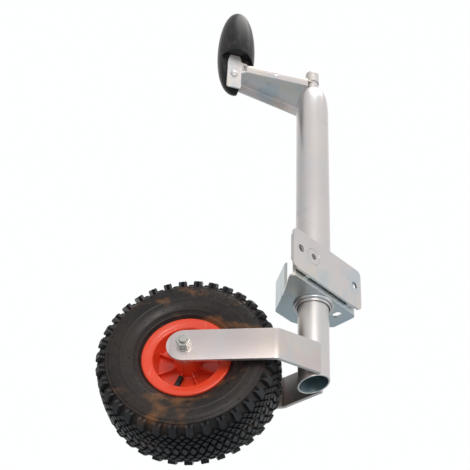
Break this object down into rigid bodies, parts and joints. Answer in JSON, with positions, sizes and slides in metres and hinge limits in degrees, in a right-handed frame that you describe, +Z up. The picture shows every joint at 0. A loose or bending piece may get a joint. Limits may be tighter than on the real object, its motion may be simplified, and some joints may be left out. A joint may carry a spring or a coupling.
{
  "type": "tongue jack stand",
  "caption": "Crank-up trailer jockey wheel: swing-away plate bracket, telescoping zinc steel leg, strap fork and pneumatic wheel on a red rim.",
  "frame": {"origin": "centre of the mounting plate's outer flat face", "axes": "+X along the plate, +Y from the plate towards the leg, +Z up along the leg"},
  "size_m": [0.2597, 0.273, 0.757],
  "materials": {
    "zinc_steel": "bright zinc plated, satin",
    "bolt_steel": "plated fastener steel",
    "black_plastic": "satin black moulding",
    "tyre_rubber": "dusty black rubber",
    "soft_rubber": "plain black rubber",
    "red_rim": "orange-red moulded plastic, semi-gloss",
    "nylon": "natural nylon",
    "brass": "plated brass"
  },
  "bodies": {
    "mount": {"mount_plate": "zinc_steel", "pivot_rivet": "zinc_steel", "pivot_washer": "nylon"},
    "outer_leg": {"outer_tube": "zinc_steel", "swivel_bracket": "zinc_steel", "collar_ring": "zinc_steel", "thrust_bearing": "bolt_steel", "lock_housing": "zinc_steel"},
    "plunger": {"lock_pin": "bolt_steel", "lock_knob": "black_plastic", "lock_spring": "bolt_steel"},
    "crank": {"spindle": "bolt_steel", "spindle_collar": "bolt_steel", "spindle_cap": "zinc_steel", "crank_arm": "zinc_steel", "grip_rivet": "zinc_steel"},
    "handle": {"grip": "black_plastic"},
    "leg_nut": {"spindle_nut": "brass", "nut_circlip": "bolt_steel"},
    "fork": {"inner_tube": "zinc_steel", "fork_arm_near": "zinc_steel", "fork_arm_far": "zinc_steel", "axle_bolt": "bolt_steel", "axle_nut": "bolt_steel", "axle_washer_near": "zinc_steel", "axle_washer_far": "zinc_steel", "hub_spacer_near": "zinc_steel", "hub_spacer_far": "zinc_steel", "axle_sleeve": "zinc_steel"},
    "wheel": {"rim_near": "red_rim", "rim_far": "red_rim", "rim_screw_1": "bolt_steel", "rim_screw_2": "bolt_steel", "rim_screw_3": "bolt_steel", "rim_screw_4": "bolt_steel", "hub_bush_near": "nylon", "hub_bush_far": "nylon", "tyre": "tyre_rubber", "air_tube": "soft_rubber", "valve_stem": "soft_rubber", "valve_cap": "brass"}
  },
  "joints": [
    {"name": "bracket_swing", "type": "hinge", "parent": "mount", "child": "outer_leg", "pos_m": [-0.0295, 0, 0.0035], "axis": [0, 1, 0], "range_deg": [0, 90]},
    {"name": "lock_pull", "type": "slide", "parent": "outer_leg", "child": "plunger", "axis": [0, 1, 0], "range_m": [0, 0.008], "stiffness_N_per_m": 1200, "deforming": ["lock_spring"]},
    {"name": "leg_extend", "type": "slide", "parent": "outer_leg", "child": "leg_nut", "axis": [0, 0, -1], "range_m": [0, 0.2]},
    {"name": "crank_turn", "type": "hinge", "parent": "outer_leg", "child": "crank", "pos_m": [0.0085, 0.034, 0.3745], "axis": [0, 0, 1], "range_deg": [0, 12000]},
    {"name": "grip_fold", "type": "hinge", "parent": "crank", "child": "handle", "pos_m": [-0.10669, 0.08887, 0.3515], "axis": [-0.515, -0.8572, 0], "range_deg": [0, 90]},
    {"name": "fork_swivel", "type": "hinge", "parent": "leg_nut", "child": "fork", "pos_m": [0.0085, 0.034, -0.1395], "axis": [0, 0, 1], "continuous": true},
    {"name": "wheel_spin", "type": "hinge", "parent": "fork", "child": "wheel", "pos_m": [-0.09124, 0.16166, -0.1395], "axis": [-0.788, -0.6157, 0], "continuous": true}
  ],
  "couplings": [
    {"joint": "crank_turn", "follows": "leg_extend", "rad_per_m": 1047.2}
  ]
}
